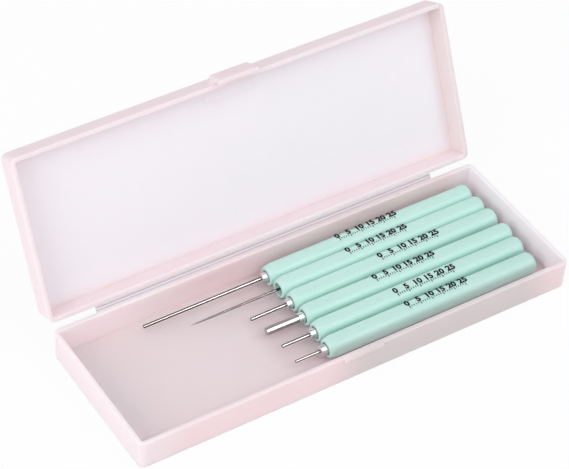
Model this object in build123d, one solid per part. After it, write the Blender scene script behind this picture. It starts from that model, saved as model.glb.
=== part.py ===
from build123d import *
import math
import os

# Case, given closed; X runs along it, the hinge is on the +Y side and Z is up
case_length = 185.0
case_width = 64.4
base_height = 12.5
lid_height = 9.9
parting_gap = 0.1
wall = 1.8
panel = 1.3
corner_radius = 2.6
panel_edge_radius = 0.6
cavity_edge_radius = 0.7
base_inset = 0.23
lid_inset = 0.29

# Moulded hinge behind the back wall
hinge_length = 147.6
hinge_back = 1.24
hinge_rise = 0.55
flange_reach = 0.9
flange_thickness = 0.8
web_thickness = 0.4
lid_open_degrees = 114.4

# Latch: a ridge on the base's front wall and a hooked tab on the lid's front wall
ridge_length = 17.0
ridge_proud = 0.7
ridge_below_rim = 0.3
ridge_height = 2.6
tab_width = 19.0
tab_end_bevel = 1.7
tab_top = 4.6
tab_bevel = 0.8
tab_proud = 2.6
tab_taper = 0.5
tab_drop = 3.3
tab_root_rise = 0.3
tab_root_slope = 0.5
latch_clearance = 0.2
hook_reach = 0.4
hook_height = 0.4

# Thumb recess in the outer face of the lid's panel; inside, a pad of the same outline keeps the panel's thickness
recess_length = 21.0
recess_width = 8.2
recess_depth = 0.35
recess_from_edge = 1.0
recess_corner = 1.0

# Handle: a rounded square body with crowned sides that turns round at its mouth
handle_length = 93.2
handle_width = 7.8
crown_radius = 15.5
body_corner_radius = 2.15
mouth_radius = 3.7
mouth_blend = 4.0
mouth_lip = 0.6
rear_radius = 2.6
counterbore_radius = 2.5
counterbore_depth = 4.5

# Ferrule and shaft, both seated on the bottom of the handle's bore
ferrule_radius = 2.1
ferrule_edge = 0.25
bore_depth = 14.0
fit = 0.02

# Needle: a slight taper, then the point
needle_point_length = 8.0
needle_neck_radius = 0.33
needle_end_radius = 0.06
rod_edge_share = 0.22

# How the six tools lie in the tray, hinge side first; the shares are of the width that the handles leave free
rest_gap = 0.05
rear_room = [4.25, 3.9, 3.5, 3.4, 4.2, 5.2]
mouth_gap_shares = [0.1893, 0.0214, 0.0321, 0.0464, 0.0893, 0.0857]
rear_gap_shares = [0.1719, 0.0098, 0.0147, 0.1324, 0.0381, 0.1113]
tip_reach = [52.75, 37.9, 17.4, 16.0, 14.1, 12.9]
shaft_radius = [0.65, 0.5, 0.63, 1.55, 0.6, 0.5]
ferrule_proud = [2.2, -3.2, 2.3, 2.4, 2.4, 2.5]
slot_width = [0.0, 0.0, 0.25, 0.0, 0.25, 0.2]
slot_length = 6.0
needle_tool = 2

rim_low = base_height
rim_high = base_height + parting_gap
hinge_y = case_width / 2 + hinge_back
hinge_z = base_height + hinge_rise
tool_count = len(tip_reach)


def case_half(height, inset):
    """One half of the case, standing on its panel with the rim up."""
    draft = math.degrees(math.atan2(inset, height))
    rim = Plane((0, 0, height))
    down = (0, 0, -1)
    outline = rim * RectangleRounded(case_length, case_width, corner_radius)
    block = extrude(outline, amount=height, dir=down, taper=draft)
    block = fillet(block.faces().sort_by(Axis.Z)[0].edges(), panel_edge_radius)
    length = case_length - 2 * wall
    width = case_width - 2 * wall
    opening = rim * RectangleRounded(length, width, corner_radius - wall)
    hollow = extrude(opening, amount=height - panel, dir=down, taper=draft)
    hollow = fillet(hollow.faces().sort_by(Axis.Z)[0].edges(), cavity_edge_radius)
    return block - hollow


def along_case(points, length):
    """A prism centred on X over a closed outline of (y, z) points."""
    face = make_face(Polyline(*points, close=True))
    return extrude(Plane.YZ * face, amount=length / 2, both=True)


def flange(low):
    """A strip behind the back wall, one flange thick above the height low."""
    inside = case_width / 2 - wall / 2
    outside = case_width / 2 + flange_reach
    high = low + flange_thickness
    return along_case([(inside, low), (outside, low), (outside, high), (inside, high)], hinge_length)


def ridge():
    """The half-round catch ridge under the base's front rim."""
    face_y = -case_width / 2
    inside = face_y + wall / 2
    high = rim_low - ridge_below_rim
    low = high - ridge_height
    middle = (face_y - ridge_proud, (high + low) / 2)
    bow = ThreePointArc((face_y, low), middle, (face_y, high))
    back = Polyline((face_y, high), (inside, high), (inside, low), (face_y, low))
    return extrude(Plane.YZ * make_face([bow, back]), amount=ridge_length / 2, both=True)


def open_lid(shape):
    """Turns a shape of the closed lid about the hinge to the open position."""
    turn = Pos(0, hinge_y, hinge_z) * Rot(-lid_open_degrees, 0, 0) * Pos(0, -hinge_y, -hinge_z)
    return turn * shape


def opened(y, z):
    """Where a (y, z) point of the closed lid lies with the lid open."""
    angle = math.radians(lid_open_degrees)
    dy = y - hinge_y
    dz = z - hinge_z
    across = dy * math.cos(angle) + dz * math.sin(angle)
    up = dz * math.cos(angle) - dy * math.sin(angle)
    return (hinge_y + across, hinge_z + up)


def latch_tab():
    """The tab of the closed lid: root on the front wall, tongue and hook below the rim."""
    face_y = -case_width / 2
    inner_y = face_y - ridge_proud - latch_clearance
    hook_y = inner_y + hook_reach
    top = rim_high + tab_top
    low = rim_high - tab_drop
    root_low = rim_high + tab_root_rise
    root_high = top + tab_bevel
    sunk_y = face_y + wall / 2
    outline = [
        (sunk_y, root_low),
        (sunk_y, root_high),
        (face_y, root_high),
        (face_y - tab_proud, top),
        (face_y - tab_proud + tab_taper, low),
        (hook_y, low),
        (hook_y, low + hook_height),
        (inner_y, low + hook_height + hook_reach),
        (inner_y, root_low - tab_root_slope),
        (face_y, root_low),
    ]
    tab = along_case(outline, tab_width)
    outer_half = tab_width / 2 - tab_end_bevel
    plan = make_face(
        Polyline(
            (-tab_width / 2, sunk_y),
            (tab_width / 2, sunk_y),
            (tab_width / 2, face_y),
            (outer_half, face_y - tab_proud),
            (-outer_half, face_y - tab_proud),
            (-tab_width / 2, face_y),
            close=True,
        )
    )
    return tab & extrude(plan, amount=root_high)


def recess_block(top, depth):
    """A block over the recess's outline, just behind the closed lid's front edge."""
    middle = -case_width / 2 + recess_from_edge + recess_width / 2
    outline = Pos(0, middle, top) * RectangleRounded(recess_length, recess_width, recess_corner)
    return extrude(outline, amount=depth, dir=(0, 0, -1))


def case_base():
    return case_half(base_height, base_inset) + flange(rim_low - flange_thickness) + ridge()


def case_lid():
    top = rim_high + lid_height
    half = Pos(0, 0, top) * Rot(180, 0, 0) * case_half(lid_height, lid_inset)
    pad = recess_block(top - recess_depth, panel)
    return open_lid(half + flange(rim_high) + latch_tab() + pad - recess_block(top, recess_depth))


def hinge_web():
    """The thin strip between the flange ends, as it stands with the lid open."""
    end = case_width / 2 + flange_reach
    outline = [
        (end, rim_low - web_thickness),
        (end, rim_low),
        opened(end, rim_high),
        opened(end, rim_high + web_thickness),
    ]
    return along_case(outline, hinge_length)


def body_section():
    """The handle's cross-section: four shallow crowns joined by four tangent corner arcs."""
    half = handle_width / 2
    crown_center = half - crown_radius
    spread = 2 * (crown_radius - body_corner_radius) ** 2 - crown_center**2
    corner = (crown_center + math.sqrt(spread)) / 2
    angle = math.atan2(corner, corner - crown_center)
    far = crown_center + crown_radius * math.cos(angle)
    near = crown_radius * math.sin(angle)
    bulge = corner + body_corner_radius / math.sqrt(2)
    edges = []
    for quarter in range(4):
        turn = Rot(0, 0, 90 * quarter)
        edges.append(turn * ThreePointArc((far, -near), (half, 0), (far, near)))
        edges.append(turn * ThreePointArc((far, near), (bulge, bulge), (near, far)))
    return make_face(edges), math.hypot(corner, corner) + body_corner_radius


def handle():
    """One handle along +X with its mouth at the origin."""
    section, reach = body_section()
    prism = extrude(Plane.YZ * section, amount=handle_length)
    rear = handle_length - rear_radius
    blend = TangentArc((mouth_blend, reach), (mouth_lip, mouth_radius), tangent=(-1, 0))
    heel = CenterArc((rear, reach - rear_radius), rear_radius, 0, 90)
    lip = CenterArc((mouth_lip, mouth_radius - mouth_lip), mouth_lip, 90, 90)
    outline = [
        Line((0, 0), (0, mouth_radius - mouth_lip)),
        lip,
        blend,
        Line((mouth_blend, reach), (rear, reach)),
        heel,
        Polyline((handle_length, reach - rear_radius), (handle_length, 0), (0, 0)),
    ]
    turned = revolve(make_face(outline), Axis.X)
    return (prism & turned) - bar(counterbore_radius, 0, counterbore_depth) - bar(ferrule_radius + fit, 0, bore_depth)


def bar(radius, start, end):
    """A round bar along +X between two places."""
    return extrude(Plane.YZ.offset(start) * Circle(radius), amount=end - start)


def ferrule(index):
    """A tube from the bottom of the bore to its bevelled front rim."""
    front = -ferrule_proud[index]
    tube = bar(ferrule_radius, front, bore_depth)
    tube = chamfer(tube.edges().sort_by(Axis.X)[0], ferrule_edge)
    return tube - bar(shaft_radius[index] + fit, front, bore_depth)


def rod(index):
    """A blunt rod with a bevelled tip, slotted if the tool winds paper."""
    radius = shaft_radius[index]
    tip = -tip_reach[index]
    shape = bar(radius, tip, bore_depth)
    shape = chamfer(shape.edges().sort_by(Axis.X)[0], radius * rod_edge_share)
    if slot_width[index] > 0:
        middle = Pos(tip + slot_length / 2, 0, 0)
        shape -= middle * Box(slot_length, 2 * radius, slot_width[index])
    return shape


def needle(index):
    """A rod that tapers slightly and ends in a long point."""
    tip = -tip_reach[index]
    radius = shaft_radius[index]
    outline = Polyline(
        (bore_depth, 0),
        (bore_depth, radius),
        (0, radius),
        (tip + needle_point_length, needle_neck_radius),
        (tip, needle_end_radius),
        (tip, 0),
        close=True,
    )
    return revolve(make_face(outline), Axis.X)


def tool_places():
    """The place of each tool's mouth in the tray."""
    places = []
    inner = case_width - 2 * wall
    spare = inner - tool_count * handle_width
    mouth_y = (inner + handle_width) / 2
    rear_y = mouth_y
    z = panel + rest_gap + handle_width / 2
    for index in range(tool_count):
        x = case_length / 2 - wall - rear_room[index] - handle_length
        mouth_y -= handle_width + spare * mouth_gap_shares[index]
        rear_y -= handle_width + spare * rear_gap_shares[index]
        turn = math.degrees(math.atan2(rear_y - mouth_y, handle_length))
        places.append(Pos(x, mouth_y, z) * Rot(0, 0, turn))
    return places


def save(shape, name):
    export_step(shape, "parts/" + name + ".step")


os.makedirs("parts", exist_ok=True)
save(case_base(), "case_base")
save(case_lid(), "case_lid")
save(hinge_web(), "hinge_web")
body = handle()
for index, place in enumerate(tool_places()):
    name = "tool_" + str(index + 1)
    shaft = needle(index) if index + 1 == needle_tool else rod(index)
    save(place * body, name + "_handle")
    save(place * ferrule(index), name + "_ferrule")
    save(place * shaft, name + "_shaft")
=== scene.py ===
import math

import bmesh
import bpy
from mathutils import Matrix, Vector


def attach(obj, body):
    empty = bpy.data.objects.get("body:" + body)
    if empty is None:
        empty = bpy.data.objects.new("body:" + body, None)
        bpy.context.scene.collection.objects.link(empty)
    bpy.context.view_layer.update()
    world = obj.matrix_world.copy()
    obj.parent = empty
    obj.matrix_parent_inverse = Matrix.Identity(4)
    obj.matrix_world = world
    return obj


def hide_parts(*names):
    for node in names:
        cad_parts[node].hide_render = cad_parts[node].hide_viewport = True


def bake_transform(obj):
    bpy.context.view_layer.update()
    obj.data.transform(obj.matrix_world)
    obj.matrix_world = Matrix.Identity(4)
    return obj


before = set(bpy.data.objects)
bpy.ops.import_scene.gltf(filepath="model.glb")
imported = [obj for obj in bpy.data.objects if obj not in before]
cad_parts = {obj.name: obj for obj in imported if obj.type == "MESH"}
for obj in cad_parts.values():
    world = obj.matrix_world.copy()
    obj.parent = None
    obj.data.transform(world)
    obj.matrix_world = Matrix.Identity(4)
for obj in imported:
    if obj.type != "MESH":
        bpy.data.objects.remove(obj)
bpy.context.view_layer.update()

MM = 0.001

# Case, closed, in millimetres
CASE_LENGTH, CASE_WIDTH = 185.0, 64.4
BASE_HEIGHT, LID_HEIGHT, PARTING_GAP = 12.5, 9.9, 0.1
WALL, PANEL, CORNER, LEAST_CORNER = 1.8, 1.3, 2.6, 0.12
BASE_INSET, LID_INSET = 0.23, 0.29
OUTER_EDGE, INNER_EDGE, RIM_EDGE = 0.6, 0.7, 0.25
HINGE_LENGTH, FLANGE_REACH, FLANGE_THICKNESS, WEB = 147.6, 0.9, 0.8, 0.4
HINGE_BACK, HINGE_RISE = 1.24, 0.55
HINGE = Vector((0.0, CASE_WIDTH / 2 + HINGE_BACK, BASE_HEIGHT + HINGE_RISE))
LID_OPEN = math.radians(114.4)
RIM_HIGH = BASE_HEIGHT + PARTING_GAP

# How far in from the edge the panels' skins have extra rings, so that the tint can fade over them
INSIDE_RINGS = (1.0, 2.0, 3.5, 5.5, 8.0)
OUTSIDE_RINGS = (10.5, 8.0, 6.0, 4.5, 3.0)

# How far from the walls their rosy tint starts to fade on the panels, and over what distance
TINT_START, TINT_FADE = 0.5, 6.0

# Latch: the catch ridge on the base, and the hooked tab that is moulded on the lid
RIDGE_LENGTH, RIDGE_PROUD, RIDGE_BELOW_RIM, RIDGE_HEIGHT = 17.0, 0.7, 0.3, 2.6
TAB_WIDTH, TAB_TOP, TAB_PROUD, TAB_DROP, TAB_TAPER = 19.0, 4.6, 2.6, 3.3, 0.5
TAB_BEVEL, TAB_END_BEVEL, TAB_ROOT_RISE, TAB_ROOT_SLOPE = 0.8, 1.7, 0.3, 0.5
LATCH_CLEARANCE, HOOK_REACH, HOOK_HEIGHT = 0.2, 0.4, 0.4

# Thumb recess in the lid's outer face, and the pad of the same outline inside the lid
RECESS_LENGTH, RECESS_WIDTH, RECESS_DEPTH = 21.0, 8.2, 0.35
RECESS_FROM_EDGE, RECESS_CORNER = 1.0, 1.0

# The stretch of the tray beside the handles
HANDLES_FROM, HANDLES_TO = -7.5, 86.0

# Tools, hinge side first, in millimetres
HANDLE_LENGTH, HANDLE_WIDTH, CROWN, BODY_CORNER = 93.2, 7.8, 15.5, 2.15
MOUTH, MOUTH_BLEND, MOUTH_LIP, REAR = 3.7, 4.0, 0.6, 2.6
BORE, BORE_DEPTH, BORE_EDGE = 2.5, 4.5, 0.2
FERRULE, SEAT_DEPTH, FIT = 2.1, 14.0, 0.02
REAR_ROOM = [4.25, 3.9, 3.5, 3.4, 4.2, 5.2]
MOUTH_GAP_SHARES = [0.1893, 0.0214, 0.0321, 0.0464, 0.0893, 0.0857]
REAR_GAP_SHARES = [0.1719, 0.0098, 0.0147, 0.1324, 0.0381, 0.1113]
TIP_REACH = [52.75, 37.9, 17.4, 16.0, 14.1, 12.9]
SHAFT_RADIUS = [0.65, 0.5, 0.63, 1.55, 0.6, 0.5]
FERRULE_PROUD = [2.2, -3.2, 2.3, 2.4, 2.4, 2.5]
SLOT_WIDTH = [0.0, 0.0, 0.25, 0.0, 0.25, 0.2]
SLOT_LENGTH = 6.0
REST_GAP = 0.05
FERRULE_EDGE, FERRULE_SOFT, FERRULE_BORE_EDGE = 0.25, 0.08, 0.1
ROD_EDGE_SHARE, ROD_SOFT_SHARE = 0.22, 0.35
THICK_SHAFT = 1.0
NEEDLE = 1

# The needle's taper: how far behind its tip, and the radius there
NEEDLE_TAPER = [(8.0, 0.33), (2.0, 0.15), (0.0, 0.06)]

# How squarely a handle's crowned section meets its round mouth and its domed end
HANDLE_BLEND = 18

# The shafts' painted highlight band, in degrees round the axis: its middle, where it is fully bright and where
# it ends
HIGHLIGHT_MIDDLE, HIGHLIGHT_FULL, HIGHLIGHT_END = 128.0, 9.0, 28.0
NEEDLE_HIGHLIGHT = 0.45

# Millimetre scale printed on each handle's top: where it starts and how far it lies from the middle line
SCALE_START = [33.0, 32.0, 40.5, 32.2, 35.6, 36.6]
SCALE_SIDE = [1.15, 1.0, 0.45, 0.75, -0.6, 0.85]
SCALE_LENGTH, TICK_SPACING, TICK_WIDTH, TICK_SHORT, TICK_LONG = 25.0, 1.0, 0.32, 0.75, 1.3
FIGURE_HEIGHT, FIGURE_SPREAD, FIGURE_LIFT, INK_THICKNESS = 2.6, 0.17, 0.35, 0.03
FIGURE_SHARE = 0.7  # a figure's height as a share of its text size
STRIP, STRIPS = 0.3, 12  # the print is cut into strips on each side of its middle, to follow the crown

# Camera, from the photo: angles in radians, place in millimetres, focal length and picture width in pixels
AZIMUTH, ELEVATION, ROLL = -0.5964, 0.7547, 0.0541
CAMERA_TARGET, CAMERA_DISTANCE = Vector((14.683, 44.517, 0)), 918.74
FOCAL_PIXELS, PICTURE_WIDTH, SENSOR = 2384.38, 569, 36

# Studio, in metres and watts: name, place, size and power of each lamp
LAMP_AIM = Vector((0, 0.02, 0.02))
LAMPS = [
    ("side", (-1.2, -0.35, 0.8), 0.9, 7.2),
    ("high", (0.38, -0.56, 1.15), 1.0, 2.8),
    ("spark", (0.53, -0.78, 0.9), 0.16, 1.0),
]
SKY_STRENGTH, FLOOR_GLOW, FLOOR_REACH, FLOOR_DROP = 0.66, 0.92, 3.0, 0.0002
DARK_SHARE, DARK_EDGE, DARK_TOP = 0.9, 4.0, 0.95


class Socket:
    """A node's output that takes part in plain arithmetic."""

    def __init__(self, tree, out):
        self.tree, self.out = tree, out

    def node(self, kind, settings=(), inputs=()):
        made = self.tree.nodes.new(kind)
        for name, value in dict(settings).items():
            setattr(made, name, value)
        for name, value in dict(inputs).items():
            if isinstance(value, Socket):
                self.tree.links.new(value.out, made.inputs[name])
            else:
                made.inputs[name].default_value = value
        return made

    def value(self, kind, settings=(), inputs=(), output=0):
        return Socket(self.tree, self.node(kind, settings, inputs).outputs[output])

    def maths(self, operation, *values):
        return self.value("ShaderNodeMath", {"operation": operation}, dict(enumerate(values)))

    def __add__(self, other):
        return self.maths("ADD", self, other)

    __radd__ = __add__

    def __sub__(self, other):
        return self.maths("SUBTRACT", self, other)

    def __rsub__(self, other):
        return self.maths("SUBTRACT", other, self)

    def __mul__(self, other):
        return self.maths("MULTIPLY", self, other)

    __rmul__ = __mul__

    def clamped(self):
        return self.maths("MINIMUM", self.maths("MAXIMUM", self, 0.0), 1.0)


class Finish:
    """A material with one Principled shader, and the ways its patterns are made."""

    def __init__(self, name, **constants):
        self.material = bpy.data.materials.new(name)
        self.material.use_nodes = True
        self.tree = self.material.node_tree
        self.shader = self.tree.nodes["Principled BSDF"]
        self.nothing = Socket(self.tree, None)
        for socket, value in constants.items():
            self.shader.inputs[socket.replace("_", " ")].default_value = value
        self.place = self.nothing.value("ShaderNodeTexCoord", output="Object")

    def mapped(self, scale):
        return self.nothing.value("ShaderNodeMapping", {}, {"Vector": self.place, "Scale": scale})

    def noise(self, scale, detail=2.0, stretch=(1.0, 1.0, 1.0)):
        size = tuple(scale * s for s in stretch)
        inputs = {"Vector": self.mapped(size), "Scale": 1.0, "Detail": detail}
        return self.nothing.value("ShaderNodeTexNoise", {}, inputs)

    def along(self, axis):
        return self.nothing.value("ShaderNodeSeparateXYZ", {}, {"Vector": self.place}, output=axis)

    def ramp(self, value, low, high):
        """0 below low, 1 above high, both in millimetres, and a soft step between them."""
        limits = {"Value": value, "From Min": low * MM, "From Max": high * MM, "To Min": 0.0, "To Max": 1.0}
        return self.nothing.value("ShaderNodeMapRange", {"interpolation_type": "SMOOTHSTEP"}, limits)

    def attribute(self, name):
        return self.nothing.value("ShaderNodeAttribute", {"attribute_name": name}, output="Fac")

    def between(self, factor, first, second):
        """A colour between two, by a factor that varies over the surface."""
        mix = self.nothing.node("ShaderNodeMix", {"data_type": "RGBA"}, {"Factor": factor})
        for socket, value in ((6, first), (7, second)):
            if isinstance(value, Socket):
                self.tree.links.new(value.out, mix.inputs[socket])
            else:
                mix.inputs[socket].default_value = (*value, 1)
        return Socket(self.tree, mix.outputs[2])

    def bump(self, height, strength, distance):
        inputs = {"Height": height, "Strength": strength, "Distance": distance}
        return self.nothing.value("ShaderNodeBump", {}, inputs)

    def feed(self, **sockets):
        for name, value in sockets.items():
            self.tree.links.new(value.out, self.shader.inputs[name.replace("_", " ")])
        return self.material


def srgb(*levels):
    """The linear colour of 0 to 255 display levels."""
    return tuple(((v / 255 + 0.055) / 1.055) ** 2.4 if v > 10 else v / 255 / 12.92 for v in levels)


def frosted_plastic(name, rosy_colour, depth, painted_zones=None):
    """The case's plastic, which light enters to a depth, with painted light and painted shade mixed in where
    given.
    """
    finish = Finish(name, IOR=1.45, Subsurface_Weight=1.0 if depth else 0.0, Subsurface_Scale=depth)
    finish.shader.inputs["Subsurface Radius"].default_value = (1.0, 0.85, 0.88)
    finish.shader.inputs["Specular IOR Level"].default_value = 0.35
    rosy = finish.attribute("rosy")
    cloud = finish.noise(60.0, 3.0)
    colour = finish.between(rosy, srgb(249, 240, 250), rosy_colour)
    colour = finish.between(cloud * 0.2, colour, srgb(246, 229, 234))
    # painted light and painted shade, as tones mixed in by position
    for share, tone in painted_zones(finish) if painted_zones else ():
        colour = finish.between(share, colour, tone)
    grain = finish.noise(5200.0, 2.0)
    return finish.feed(
        Base_Color=colour,
        Roughness=0.36 + 0.14 * finish.noise(900.0, 2.0),
        Normal=finish.bump(grain, 0.12, 0.00004),
    )


def tray_zones(finish):
    """Painted shade on the tray's walls where handles lie behind them and a painted shadow on its floor by the
    handles' mouths; painted light at its ends and on the back wall's left stretch.
    """
    x, y, z = finish.along("X"), finish.along("Y"), finish.along("Z")
    end, face = CASE_LENGTH / 2, CASE_WIDTH / 2
    past_mouths = finish.ramp(x, HANDLES_FROM - 13, HANDLES_FROM + 13)
    past_rears = finish.ramp(x, HANDLES_TO - 16, HANDLES_TO + 6)
    at_tips = finish.ramp(x, HANDLES_FROM - 22, HANDLES_FROM - 2)
    before_tips = 1 - finish.ramp(x, HANDLES_FROM - 50, HANDLES_FROM - 20)
    left_end = 1 - finish.ramp(x, 1.5 - end, 22.0 - end)
    right_end = finish.ramp(x, HANDLES_TO - 8, HANDLES_TO + 4)
    front_wall = 1 - finish.ramp(y, 1.3 - face, 1.7 - face)
    back_wall = finish.ramp(y, face - 2.6, face - 1.6) * 0.5
    inside = finish.ramp(y, 1.4 - face, 2.2 - face)
    floor = (1 - finish.ramp(z, 1.6, 2.6)) * inside
    return [
        # painted shade on the front and back walls beside the handles
        ((past_mouths - past_rears) * (front_wall + back_wall).clamped(), srgb(218, 210, 210)),
        # painted light at the right end, past the handles' rear ends
        (right_end * inside * 0.8, srgb(252, 240, 244)),
        # painted light at the left end
        (left_end * 0.5, srgb(254, 238, 242)),
        # painted light, paler and less pink, on the back wall's left stretch
        (before_tips * back_wall * 1.4, srgb(246, 238, 240)),
        # painted shadow on the floor by the handles' mouths and under the handles
        (at_tips * floor * 0.7, srgb(222, 203, 206)),
    ]


def lid_zones(finish):
    """Painted light along the open lid's front wall, which is then its top, and painted shade at its right
    end.
    """
    x, z = finish.along("X"), finish.along("Z")
    end = CASE_LENGTH / 2
    front_wall = finish.ramp(z, 64.0, 69.5)
    right_wall = finish.ramp(x, end - 2.6, end - 2.0)
    # painted light along the front wall, now the top, and painted shade at the right end
    return [(front_wall * 0.8, srgb(254, 226, 230)), (right_wall * 0.9, srgb(226, 218, 216))]


def mint_handles():
    finish = Finish("satin mint handle plastic", IOR=1.46, Subsurface_Weight=0.25, Subsurface_Scale=0.0015)
    finish.shader.inputs["Subsurface Radius"].default_value = (0.6, 1.0, 0.8)
    cloud = finish.noise(140.0, 3.0, (0.3, 1.0, 1.0))
    colour = finish.between(cloud, srgb(193, 233, 222), srgb(202, 238, 230))
    grain = finish.noise(6500.0, 2.0, (0.35, 1.0, 1.0))
    return finish.feed(
        Base_Color=colour,
        Roughness=0.22 + 0.14 * finish.noise(1500.0, 2.0, (0.2, 1.0, 1.0)),
        Normal=finish.bump(grain, 0.06, 0.00002),
    )


def turned_ferrules():
    finish = Finish("turned aluminium ferrule", Metallic=1.0)
    rings = finish.noise(9000.0, 1.0, (1.0, 0.02, 0.02))
    wear = finish.noise(1300.0, 3.0)
    colour = finish.between(wear, srgb(222, 224, 226), srgb(240, 241, 243))
    return finish.feed(
        Base_Color=colour,
        Roughness=0.16 + 0.16 * finish.noise(2100.0, 2.0, (1.0, 0.1, 0.1)),
        Normal=finish.bump(rings, 0.25, 0.00003),
    )


def polished_steel(name, bright, painted_dark):
    """Drawn steel, with a painted highlight along its upper front and a painted dark reflection round the
    rest.
    """
    finish = Finish(name, Metallic=1.0)
    # the painted highlight band round the shaft; the rest gets the painted dark reflection colour
    painted_highlight = finish.attribute("painted_highlight")
    drawn = finish.noise(7000.0, 2.0, (0.03, 1.0, 1.0))
    stain = finish.noise(700.0, 3.0, (0.3, 1.0, 1.0))
    colour = finish.between(painted_highlight, srgb(*painted_dark), srgb(*bright))
    colour = finish.between(stain * 0.1, colour, srgb(110, 102, 98))
    return finish.feed(
        Base_Color=colour,
        Roughness=0.07 + 0.08 * finish.noise(2500.0, 2.0, (0.2, 1.0, 1.0)),
        Normal=finish.bump(drawn, 0.15, 0.00002),
    )


def printing_ink():
    finish = Finish("black printing ink", IOR=1.4)
    finish.shader.inputs["Specular IOR Level"].default_value = 0.25
    wear = finish.noise(4200.0, 3.0)
    colour = finish.between(wear, srgb(12, 12, 14), srgb(34, 33, 36))
    return finish.feed(Base_Color=colour, Roughness=0.5 + 0.3 * wear)


def ring_mesh(name, rings, material, closed=False):
    """A mesh through rings of equally many points, with a face on each end or its ends joined."""
    count = len(rings[0])
    points = [tuple(v * MM for v in p) for ring in rings for p in ring]
    faces = []
    steps = len(rings) if closed else len(rings) - 1
    for i in range(steps):
        low, high = i * count, (i + 1) % len(rings) * count
        for j in range(count):
            k = (j + 1) % count
            faces.append((low + j, low + k, high + k, high + j))
    if not closed:
        faces.append(tuple(range(count))[::-1])
        faces.append(tuple((len(rings) - 1) * count + j for j in range(count)))
    mesh = bpy.data.meshes.new(name)
    mesh.from_pydata(points, [], faces)
    mesh.materials.append(material)
    return linked(name, mesh)


def linked(name, data):
    """A new object in the scene, over its mesh, text, camera or lamp."""
    piece = bpy.data.objects.new(name, data)
    bpy.context.scene.collection.objects.link(piece)
    return piece


def applied(piece):
    """The piece with its modifiers made part of its mesh."""
    graph = bpy.context.evaluated_depsgraph_get()
    piece.data = bpy.data.meshes.new_from_object(piece.evaluated_get(graph))
    piece.modifiers.clear()
    return piece


def smooth(piece, degrees=35):
    """Rounded faces shade smoothly, flat ones stay flat and corners stay sharp."""
    mesh = piece.data
    mesh.shade_smooth()
    mesh.set_sharp_from_angle(angle=math.radians(degrees))
    piece.modifiers.new("even normals", "WEIGHTED_NORMAL").keep_sharp = True
    return piece


def combine(piece, other, operation):
    """The piece with another one fused on or cut away."""
    joint = piece.modifiers.new(operation, "BOOLEAN")
    joint.operation, joint.object, joint.solver = operation, other, "EXACT"
    bpy.context.view_layer.update()
    applied(piece)
    bpy.data.objects.remove(other)
    return piece


def rounded_outline(inset, z, per_corner=8):
    """A rounded rectangle inside the case's outline, as points at one height."""
    half_x, half_y = CASE_LENGTH / 2 - inset, CASE_WIDTH / 2 - inset
    radius = max(CORNER - inset, LEAST_CORNER)
    points = []
    for quarter, (sx, sy) in enumerate(((1, 1), (-1, 1), (-1, -1), (1, -1))):
        for step in range(per_corner + 1):
            angle = math.radians(90 * (quarter + step / per_corner))
            x = sx * (half_x - radius) + radius * math.cos(angle)
            y = sy * (half_y - radius) + radius * math.sin(angle)
            points.append((x, y, z))
    return points


def arc(center, radius, start, end, steps=5):
    """(inset, height) points on an arc between two angles in degrees."""
    places = []
    for step in range(steps + 1):
        angle = math.radians(start + (end - start) * step / steps)
        places.append((center[0] + radius * math.cos(angle), center[1] + radius * math.sin(angle)))
    return places


def tint(piece, middle):
    """Marks how rosy the closed case is: its walls fully, its panels less away from them, down to middle."""
    values = []
    for vertex in piece.data.vertices:
        from_end = CASE_LENGTH / 2 - abs(vertex.co.x) / MM
        from_side = CASE_WIDTH / 2 - abs(vertex.co.y) / MM
        from_wall = min(from_end, from_side) - WALL
        share = min(max(1 - (from_wall - TINT_START) / TINT_FADE, 0), 1)
        values.append(middle + (1 - middle) * share**2)
    piece.data.attributes.new("rosy", "FLOAT", "POINT").data.foreach_set("value", values)


def case_half(name, height, inset, material):
    """One half of the case on its panel as one skin."""

    def lean(z):
        return inset * (1 - z / height)

    outside = arc((lean(0) + OUTER_EDGE, OUTER_EDGE), OUTER_EDGE, 270, 180)
    rim = arc((RIM_EDGE, height - RIM_EDGE), RIM_EDGE, 180, 90, 4)
    rim += arc((WALL - RIM_EDGE, height - RIM_EDGE), RIM_EDGE, 90, 0, 4)
    foot = WALL + lean(PANEL) + INNER_EDGE
    inside = arc((foot, PANEL + INNER_EDGE), INNER_EDGE, 180, 270)
    inner_panel = [(foot + reach, PANEL) for reach in INSIDE_RINGS]
    outer_panel = [(reach, 0.0) for reach in OUTSIDE_RINGS]
    profile = outer_panel + outside + rim + inside + inner_panel
    rings = [rounded_outline(i, z) for i, z in profile]
    return ring_mesh(name, rings, material)


def along_case(name, outline, length, material):
    """A prism centred on X over a closed outline of (y, z) points."""
    rings = [[(x, y, z) for y, z in outline] for x in (-length / 2, length / 2)]
    return ring_mesh(name, rings, material)


def flange(low, material):
    inside, outside = CASE_WIDTH / 2 - WALL / 2, CASE_WIDTH / 2 + FLANGE_REACH
    high = low + FLANGE_THICKNESS
    outline = [(inside, low), (outside, low), (outside, high), (inside, high)]
    return along_case("flange", outline, HINGE_LENGTH, material)


def ridge(material, steps=8):
    """The half-round catch ridge under the base's front rim."""
    face, high = -CASE_WIDTH / 2, BASE_HEIGHT - RIDGE_BELOW_RIM
    radius = (RIDGE_HEIGHT**2 / 4 + RIDGE_PROUD**2) / (2 * RIDGE_PROUD)
    swing = math.asin(RIDGE_HEIGHT / 2 / radius)
    middle = (face - RIDGE_PROUD + radius, high - RIDGE_HEIGHT / 2)
    outline = [(face + WALL / 2, high), (face + WALL / 2, high - RIDGE_HEIGHT)]
    for step in range(steps + 1):
        angle = -swing + 2 * swing * step / steps
        outline.append((middle[0] - radius * math.cos(angle), middle[1] + radius * math.sin(angle)))
    return along_case("ridge", outline, RIDGE_LENGTH, material)


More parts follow.
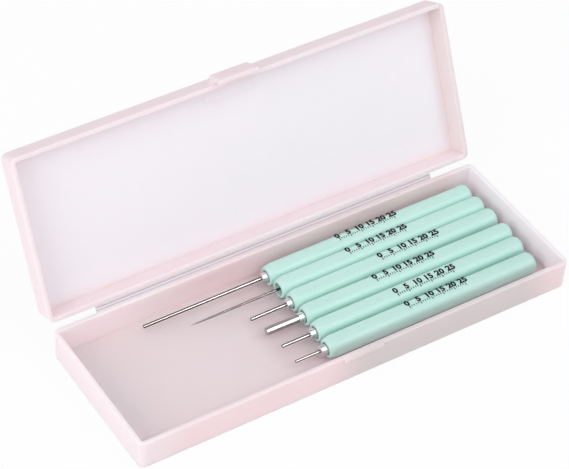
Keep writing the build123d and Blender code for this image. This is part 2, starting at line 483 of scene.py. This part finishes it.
def latch_tab(material):
    """The hooked tab on the closed lid's front wall, with bevelled ends."""
    face = -CASE_WIDTH / 2
    inner, outer, sunk = face - RIDGE_PROUD - LATCH_CLEARANCE, face - TAB_PROUD, face + WALL / 2
    low, top = RIM_HIGH - TAB_DROP, RIM_HIGH + TAB_TOP
    root = RIM_HIGH + TAB_ROOT_RISE
    outline = [
        (sunk, root),
        (sunk, top + TAB_BEVEL),
        (face, top + TAB_BEVEL),
        (outer, top),
        (outer + TAB_TAPER, low),
        (inner + HOOK_REACH, low),
        (inner + HOOK_REACH, low + HOOK_HEIGHT),
        (inner, low + 2 * HOOK_HEIGHT),
        (inner, root - TAB_ROOT_SLOPE),
        (face, root),
    ]
    tab = along_case("tab", outline, TAB_WIDTH, material)
    half = TAB_WIDTH / 2
    short = half - TAB_END_BEVEL
    plan = [(-half, sunk), (half, sunk), (half, face), (short, outer), (-short, outer), (-half, face)]
    over_tab = top + 3.0
    block = ring_mesh("plan", [[(x, y, z) for x, y in plan] for z in (0, over_tab)], material)
    return combine(tab, block, "INTERSECT")


def recess_block(top, depth, material, steps=6):
    """A block over the thumb recess's outline, down from a height of the closed lid."""
    middle = -CASE_WIDTH / 2 + RECESS_FROM_EDGE + RECESS_WIDTH / 2
    reach_x, reach_y = RECESS_LENGTH / 2 - RECESS_CORNER, RECESS_WIDTH / 2 - RECESS_CORNER
    outline = []
    for quarter, (sx, sy) in enumerate(((1, 1), (-1, 1), (-1, -1), (1, -1))):
        for step in range(steps + 1):
            angle = math.radians(90 * (quarter + step / steps))
            x = sx * reach_x + RECESS_CORNER * math.cos(angle)
            y = middle + sy * reach_y + RECESS_CORNER * math.sin(angle)
            outline.append((x, y))
    rings = [[(x, y, z) for x, y in outline] for z in (top - depth, top)]
    return outward(ring_mesh("recess", rings, material))


def opening_turn():
    """The matrix that carries the closed lid to the open position."""
    place = Matrix.Translation(HINGE * MM)
    return place @ Matrix.Rotation(-LID_OPEN, 4, "X") @ place.inverted()


def outward(piece):
    """Faces point outwards."""
    work = bmesh.new()
    work.from_mesh(piece.data)
    bmesh.ops.recalc_face_normals(work, faces=work.faces)
    work.to_mesh(piece.data)
    work.free()
    return piece


def in_place(piece, node, body):
    """The piece stands in for a part of the frame and its body."""
    smooth(piece)
    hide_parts(node)
    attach(piece, body)


def make_base(tray):
    base = outward(case_half("base_tray", BASE_HEIGHT, BASE_INSET, tray))
    base = combine(base, outward(flange(BASE_HEIGHT - FLANGE_THICKNESS, tray)), "UNION")
    base = combine(base, outward(ridge(tray)), "UNION")
    tint(base, 1.0)
    in_place(base, "case_base", "base")


def make_lid(cover):
    """The lid, made closed and then opened."""
    lid = outward(case_half("lid_cover", LID_HEIGHT, LID_INSET, cover))
    top, above = RIM_HIGH + LID_HEIGHT, 1.0
    lid.data.transform(Matrix.Translation((0, 0, top * MM)) @ Matrix.Rotation(math.pi, 4, "X"))
    lid = combine(lid, outward(flange(RIM_HIGH, cover)), "UNION")
    lid = combine(lid, outward(latch_tab(cover)), "UNION")
    lid = combine(lid, recess_block(top - RECESS_DEPTH, PANEL, cover), "UNION")
    lid = combine(lid, recess_block(top + above, RECESS_DEPTH + above, cover), "DIFFERENCE")
    tint(lid, 0.0)
    lid.data.transform(opening_turn())
    in_place(lid, "case_lid", "lid")


def make_web(film, steps=6):
    """The hinge's web, from the base's flange to the open lid's."""
    edge = CASE_WIDTH / 2 + FLANGE_REACH
    turn = opening_turn()
    far = [turn @ (Vector((0, edge, z)) * MM) / MM for z in (RIM_HIGH, RIM_HIGH + WEB)]
    low, high = (edge, BASE_HEIGHT - WEB), (edge, BASE_HEIGHT)
    far_low, far_high = ((p.y, p.z) for p in far)
    rings = []
    for x in (-HINGE_LENGTH / 2, HINGE_LENGTH / 2):
        ring = []
        for (y, z), (far_y, far_z), way in (
            (low, far_high, range(steps + 1)),
            (high, far_low, range(steps, -1, -1)),
        ):
            ring += [(x, y + (far_y - y) * s / steps, z + (far_z - z) * s / steps) for s in way]
        rings.append(ring)
    web = outward(ring_mesh("hinge_strip", rings, film))
    tint(web, 0.0)
    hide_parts("hinge_web")
    (far[0] + far[1]) / 2 * MM
    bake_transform(web)


def body_reach(angle):
    """How far the handle's cross-section reaches in a direction."""
    half = HANDLE_WIDTH / 2
    crown = half - CROWN
    corner = (crown + math.sqrt(2 * (CROWN - BODY_CORNER) ** 2 - crown**2)) / 2
    tangent = math.atan2(corner, corner - crown)
    limit = math.atan2(CROWN * math.sin(tangent), crown + CROWN * math.cos(tangent))
    a, b = sorted((abs(math.cos(angle)), abs(math.sin(angle))), reverse=True)
    if math.atan2(b, a) < limit:
        return crown * a + math.sqrt(CROWN**2 - (crown * b) ** 2)
    return corner * (a + b) + math.sqrt(max(BODY_CORNER**2 - (corner * (a - b)) ** 2, 0))


def turned_reach(x):
    """The radius that the round mouth and the domed rear end leave at a place along the handle."""
    full = body_reach(math.pi / 4)
    if x < MOUTH_LIP:
        return MOUTH - MOUTH_LIP + math.sqrt(MOUTH_LIP**2 - (MOUTH_LIP - x) ** 2)
    if x < MOUTH_BLEND:
        run = MOUTH_BLEND - MOUTH_LIP
        bend = ((full - MOUTH) ** 2 + run**2) / (2 * (full - MOUTH))
        return full - bend + math.sqrt(bend**2 - (MOUTH_BLEND - x) ** 2)
    rear = HANDLE_LENGTH - REAR
    if x > rear:
        return full - REAR + math.sqrt(max(REAR**2 - (x - rear) ** 2, 0))
    return full


def handle_rings(around=96):
    """Rings of the handle along +X: bore first, then mouth, body and rear end."""
    seat, rear = FERRULE + FIT, HANDLE_LENGTH - REAR
    bore = [(SEAT_DEPTH, seat), (BORE_DEPTH, seat), (BORE_DEPTH, BORE)]
    mouth = [(BORE_EDGE, BORE), (0.0, BORE + BORE_EDGE)]
    rings = turned_rings(bore + mouth, around)
    lip, blend, body, dome = 8, 10, 12, 10  # steps along each stretch
    places = [MOUTH_LIP * (1 - math.cos(math.radians(90 * s / lip))) for s in range(lip + 1)]
    places += [MOUTH_LIP + (MOUTH_BLEND - MOUTH_LIP) * s / blend for s in range(1, blend + 1)]
    places += [MOUTH_BLEND + (rear - MOUTH_BLEND) * s / body for s in range(1, body + 1)]
    places += [rear + REAR * math.sin(math.radians(90 * s / dome)) for s in range(1, dome + 1)]
    for x in places:
        limit = turned_reach(x)
        ring = []
        for t in angles(around):
            reach = body_reach(t)
            if x > MOUTH_LIP:
                reach = (reach**-HANDLE_BLEND + limit**-HANDLE_BLEND) ** (-1 / HANDLE_BLEND)
            else:
                reach = min(reach, limit)
            ring.append((x, reach * math.cos(t), reach * math.sin(t)))
        rings.append(ring)
    return rings


def angles(count):
    return [2 * math.pi * s / count for s in range(count)]


def turned_rings(profile, around=48):
    return [[(x, r * math.cos(t), r * math.sin(t)) for t in angles(around)] for x, r in profile]


def tool_places():
    """The matrices that lay the tools in the tray, each made along +X from its mouth at the origin."""
    inner = CASE_WIDTH - 2 * WALL
    spare = inner - len(TIP_REACH) * HANDLE_WIDTH
    mouth_y = rear_y = (inner + HANDLE_WIDTH) / 2
    z = PANEL + REST_GAP + HANDLE_WIDTH / 2
    places = []
    for index in range(len(TIP_REACH)):
        mouth_y -= HANDLE_WIDTH + spare * MOUTH_GAP_SHARES[index]
        rear_y -= HANDLE_WIDTH + spare * REAR_GAP_SHARES[index]
        x = CASE_LENGTH / 2 - WALL - REAR_ROOM[index] - HANDLE_LENGTH
        turn = math.atan2(rear_y - mouth_y, HANDLE_LENGTH)
        places.append(Matrix.Translation(Vector((x, mouth_y, z)) * MM) @ Matrix.Rotation(turn, 4, "Z"))
    return places


def shaft_profile(index):
    """(x, radius) points of a shaft, from its seat to its tip."""
    tip, radius = -TIP_REACH[index], SHAFT_RADIUS[index]
    if index == NEEDLE:
        return [(SEAT_DEPTH, radius), (0, radius)] + [(tip + x, r) for x, r in NEEDLE_TAPER]
    edge = radius * ROD_EDGE_SHARE
    soft = edge * ROD_SOFT_SHARE
    return [(SEAT_DEPTH, radius), (tip + edge, radius), (tip + soft, radius - soft), (tip, radius - edge)]


def ferrule_profile(index):
    """(x, radius) points round a ferrule's wall."""
    front, bore = -FERRULE_PROUD[index], SHAFT_RADIUS[index] + FIT
    return [
        (front + FERRULE_BORE_EDGE, bore),
        (SEAT_DEPTH, bore),
        (SEAT_DEPTH, FERRULE),
        (front + FERRULE_EDGE, FERRULE),
        (front + FERRULE_SOFT, FERRULE - FERRULE_SOFT),
        (front, FERRULE - FERRULE_EDGE),
        (front, bore + FERRULE_BORE_EDGE),
    ]


def polish(shaft, most):
    """Paints a highlight band on the shaft's upper front as an attribute, up to a share, before the shaft is
    put in its place.
    """
    values = []
    for vertex in shaft.data.vertices:
        off = abs(math.degrees(math.atan2(vertex.co.z, vertex.co.y)) - HIGHLIGHT_MIDDLE)
        share = min(max((HIGHLIGHT_END - off) / (HIGHLIGHT_END - HIGHLIGHT_FULL), 0), 1)
        values.append(share * most)
    shaft.data.attributes.new("painted_highlight", "FLOAT", "POINT").data.foreach_set("value", values)


def slotted(shaft, index, steel):
    """The shaft with its tip split, if it has a slot."""
    if not SLOT_WIDTH[index]:
        return shaft
    half, tip, wide = SLOT_WIDTH[index] / 2, -TIP_REACH[index], SHAFT_RADIUS[index] * 1.5
    corners = [(-wide, -half), (wide, -half), (wide, half), (-wide, half)]
    rings = [[(x, y, z) for y, z in corners] for x in (tip - 1, tip + SLOT_LENGTH)]
    return combine(shaft, outward(ring_mesh("slot", rings, steel)), "DIFFERENCE")


def make_tools(mint, aluminium, wire, rod):
    for index, place in enumerate(tool_places()):
        name = f"tool_{index + 1}"
        steel = rod if SHAFT_RADIUS[index] > THICK_SHAFT else wire
        handle = outward(ring_mesh(name + "_grip", handle_rings(), mint))
        collar = turned_rings(ferrule_profile(index))
        tube = outward(ring_mesh(name + "_collar", collar, aluminium, closed=True))
        shaft = outward(ring_mesh(name + "_tip", turned_rings(shaft_profile(index)), steel))
        shaft = slotted(shaft, index, steel)
        # paint the highlight band round the shaft, weaker on the needle
        polish(shaft, NEEDLE_HIGHLIGHT if index == NEEDLE else 1.0)
        for piece, node, slot in (
            (handle, "_handle", "handle_plastic"),
            (tube, "_ferrule", "ferrule_metal"),
            (shaft, "_shaft", "shaft_metal"),
        ):
            piece.data.transform(place)
            in_place(piece, name + node, name)


def graduation_tree(ink):
    """Ticks along X, every fifth one long, hanging from the line y = 0."""
    tree = bpy.data.node_groups.new("graduation", "GeometryNodeTree")
    face = tree.interface
    sizes = {}
    for name, value in (
        ("Length", SCALE_LENGTH * MM),
        ("Spacing", TICK_SPACING * MM),
        ("Tick width", TICK_WIDTH * MM),
        ("Short tick", TICK_SHORT * MM),
        ("Long tick", TICK_LONG * MM),
        ("Ink thickness", INK_THICKNESS * MM),
    ):
        socket = face.new_socket(name=name, in_out="INPUT", socket_type="NodeSocketFloat")
        sizes[socket.identifier] = value
    face.new_socket(name="Ticks", in_out="OUTPUT", socket_type="NodeSocketGeometry")
    start = Socket(tree, None)
    given = start.node("NodeGroupInput")
    length, spacing, width, short, tall, ink_depth = (Socket(tree, given.outputs[i]) for i in range(6))
    count = length.maths("DIVIDE", length, spacing) + 1.0
    step = start.value("ShaderNodeCombineXYZ", {}, {"X": spacing})
    row = start.value("GeometryNodeMeshLine", {}, {"Count": count, "Offset": step})
    turn = start.value("GeometryNodeInputIndex")
    fifth = turn.maths("LESS_THAN", turn.maths("MODULO", turn, 5.0), 0.5)
    reach = short + (tall - short) * fifth
    size = start.value("ShaderNodeCombineXYZ", {}, {"X": width, "Y": reach, "Z": ink_depth})
    unit = start.value("GeometryNodeMeshCube", {}, {"Size": (1.0, 1.0, 1.0), "Vertices Y": 4})
    dropped = start.value("GeometryNodeTransform", {}, {"Geometry": unit, "Translation": (0.0, -0.5, 0.0)})
    parts = {"Points": row, "Instance": dropped, "Scale": size}
    ticks = start.value("GeometryNodeInstanceOnPoints", {}, parts)
    whole = start.value("GeometryNodeRealizeInstances", {}, {"Geometry": ticks})
    inked = start.value("GeometryNodeSetMaterial", {}, {"Geometry": whole, "Material": ink})
    end = start.node("NodeGroupOutput")
    tree.links.new(inked.out, end.inputs[0])
    return tree, sizes


def tick_row(tree, sizes):
    """The ticks as a plain mesh."""
    row = linked("ticks", bpy.data.meshes.new("ticks"))
    maker = row.modifiers.new("graduation", "NODES")
    maker.node_group = tree
    for identifier, value in sizes.items():
        maker[identifier] = value
    return applied(row)


def figure(number, x, ink):
    """A plain number centred over its tick, as a thin solid."""
    text = bpy.data.curves.new("figure", "FONT")
    text.body, text.align_x, text.size = str(number), "CENTER", FIGURE_HEIGHT / FIGURE_SHARE * MM
    text.offset, text.extrude = FIGURE_SPREAD * MM, INK_THICKNESS / 2 * MM
    text.resolution_u = 3
    text.materials.append(ink)
    shape = linked("figure", text)
    bpy.context.view_layer.update()
    graph = bpy.context.evaluated_depsgraph_get()
    mesh = bpy.data.meshes.new_from_object(shape.evaluated_get(graph))
    bpy.data.objects.remove(shape)
    mesh.transform(Matrix.Translation((x * MM, FIGURE_LIFT * MM, 0)))
    return linked("figure", mesh)


def joined(name, pieces, ink):
    """The pieces as one mesh, cut into narrow strips along X."""
    work = bmesh.new()
    for piece in pieces:
        work.from_mesh(piece.data)
    for step in range(-STRIPS, STRIPS + 1):
        everything = work.verts[:] + work.edges[:] + work.faces[:]
        cut = (0, STRIP * step * MM, 0)
        bmesh.ops.bisect_plane(work, geom=everything, plane_co=cut, plane_no=(0, 1, 0), dist=1e-9)
    mesh = bpy.data.meshes.new(name)
    work.to_mesh(mesh)
    work.free()
    mesh.materials.append(ink)
    mesh.polygons.foreach_set("material_index", [0] * len(mesh.polygons))
    for piece in pieces:
        bpy.data.objects.remove(piece)
    return linked(name, mesh)


def make_scales(ink):
    """The printed scales, bent over the crowns of the handles."""
    tree, sizes = graduation_tree(ink)
    drop = -(FIGURE_HEIGHT - TICK_LONG) / 2
    for index, place in enumerate(tool_places()):
        body = f"tool_{index + 1}"
        pieces = [tick_row(tree, sizes)]
        pieces += [figure(n, n, ink) for n in range(0, int(SCALE_LENGTH) + 1, 5)]
        print_mark = joined(body + "_scale", pieces, ink)
        start = Vector((SCALE_START[index], SCALE_SIDE[index] + drop, 0)) * MM
        print_mark.data.transform(Matrix.Translation(start))
        for vertex in print_mark.data.vertices:
            across = vertex.co.y / MM
            vertex.co.z += (HANDLE_WIDTH / 2 - CROWN + math.sqrt(CROWN**2 - across**2)) * MM
        print_mark.data.transform(place)
        outward(print_mark)
        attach(print_mark, body)


def make_camera():
    flat = math.cos(ELEVATION)
    back = Vector((math.sin(AZIMUTH) * flat, -math.cos(AZIMUTH) * flat, math.sin(ELEVATION)))
    right = Vector((math.cos(AZIMUTH), math.sin(AZIMUTH), 0))
    up = back.cross(right)
    c, s = math.cos(ROLL), math.sin(ROLL)
    right, up = c * right + s * up, c * up - s * right
    lens = bpy.data.cameras.new("camera")
    lens.lens, lens.sensor_width = FOCAL_PIXELS * SENSOR / PICTURE_WIDTH, SENSOR
    lens.clip_start, lens.clip_end = 0.01, 20
    camera = linked("camera", lens)
    turn = Matrix((right, up, back)).transposed().to_4x4()
    place = CAMERA_TARGET * MM + back * (CAMERA_DISTANCE * MM)
    camera.matrix_world = Matrix.Translation(place) @ turn
    bpy.context.scene.camera = camera


def make_lamp(name, place, size, power):
    """A square lamp that faces the object."""
    light = bpy.data.lights.new(name, "AREA")
    light.shape, light.size, light.energy = "SQUARE", size, power
    lamp = linked(name, light)
    lamp.location = place
    lamp.rotation_euler = (LAMP_AIM - Vector(place)).to_track_quat("-Z", "Y").to_euler()


def seen_directly(start):
    """Whether a ray comes from the camera, a clear body or a mirror, and whether it comes from a mirror."""
    rays = start.node("ShaderNodeLightPath")
    kinds = ("Camera", "Transmission", "Glossy")
    straight, clear, mirrored = (Socket(start.tree, rays.outputs[f"Is {kind} Ray"]) for kind in kinds)
    return (straight + clear + mirrored).clamped(), mirrored


def mixed(start, share, first, second, kind):
    """Closes a node tree with two shaders, mixed by a share."""
    both = start.node("ShaderNodeMixShader", {}, {"Fac": share})
    start.tree.links.new(first.outputs[0], both.inputs[1])
    start.tree.links.new(second.outputs[0], both.inputs[2])
    end = start.node(kind)
    start.tree.links.new(both.outputs[0], end.inputs["Surface"])


def fresh_tree(owner):
    owner.use_nodes = True
    owner.node_tree.nodes.clear()
    return Socket(owner.node_tree, None)


def make_sky():
    """Soft light from all round, white where it is seen, and darker where metal mirrors what is low behind."""
    world = bpy.data.worlds.new("studio")
    bpy.context.scene.world = world
    start = fresh_tree(world)
    seen, mirrored = seen_directly(start)
    soft = start.node("ShaderNodeBackground", {}, {"Color": (0.98, 0.98, 1.0, 1), "Strength": SKY_STRENGTH})
    way = start.value("ShaderNodeTexCoord", output="Generated")
    parts = start.node("ShaderNodeSeparateXYZ", {}, {"Vector": way})
    y, z = Socket(start.tree, parts.outputs["Y"]), Socket(start.tree, parts.outputs["Z"])
    behind = (y * DARK_EDGE).clamped() * ((DARK_TOP - z) * DARK_EDGE).clamped()
    dark = start.node("ShaderNodeMix", {"data_type": "RGBA"}, {"Factor": behind * mirrored * DARK_SHARE})
    dark.inputs[6].default_value = (1, 1, 1, 1)
    dark.inputs[7].default_value = (0, 0, 0, 1)
    shade = {"Color": Socket(start.tree, dark.outputs[2]), "Strength": 1.0}
    mixed(start, seen, soft, start.node("ShaderNodeBackground", {}, shade), "ShaderNodeOutputWorld")


def make_floor():
    """A white paper floor, which keeps a little of the object's shadow."""
    paper = bpy.data.materials.new("white paper")
    start = fresh_tree(paper)
    seen, _ = seen_directly(start)
    matt = start.node("ShaderNodeBsdfDiffuse", {}, {"Color": (0.9, 0.9, 0.9, 1)})
    glow = start.node("ShaderNodeEmission", {}, {"Color": (1, 1, 1, 1), "Strength": 1.0})
    mixed(start, seen * FLOOR_GLOW, matt, glow, "ShaderNodeOutputMaterial")
    mesh = bpy.data.meshes.new("floor")
    signs = ((-1, -1), (1, -1), (1, 1), (-1, 1))
    corners = [(sx * FLOOR_REACH, sy * FLOOR_REACH, -FLOOR_DROP) for sx, sy in signs]
    mesh.from_pydata(corners, [], [(0, 1, 2, 3)])
    mesh.materials.append(paper)
    linked("floor", mesh)


def main():
    make_base(frosted_plastic("frosted pink tray plastic", srgb(248, 223, 225), 0.0030, tray_zones))
    make_lid(frosted_plastic("frosted pink lid plastic", srgb(245, 227, 229), 0.0034, lid_zones))
    make_web(frosted_plastic("thin hinge film", srgb(248, 238, 249), 0.0))
    wire = polished_steel("drawn steel wire", (214, 206, 204), (38, 30, 29))
    rod = polished_steel("bright steel rod", (244, 242, 241), (176, 172, 171))
    make_tools(mint_handles(), turned_ferrules(), wire, rod)
    make_scales(printing_ink())
    make_camera()
    bpy.context.scene.view_settings.view_transform = "Standard"
    make_sky()
    make_floor()
    for lamp in LAMPS:
        make_lamp(*lamp)


main()
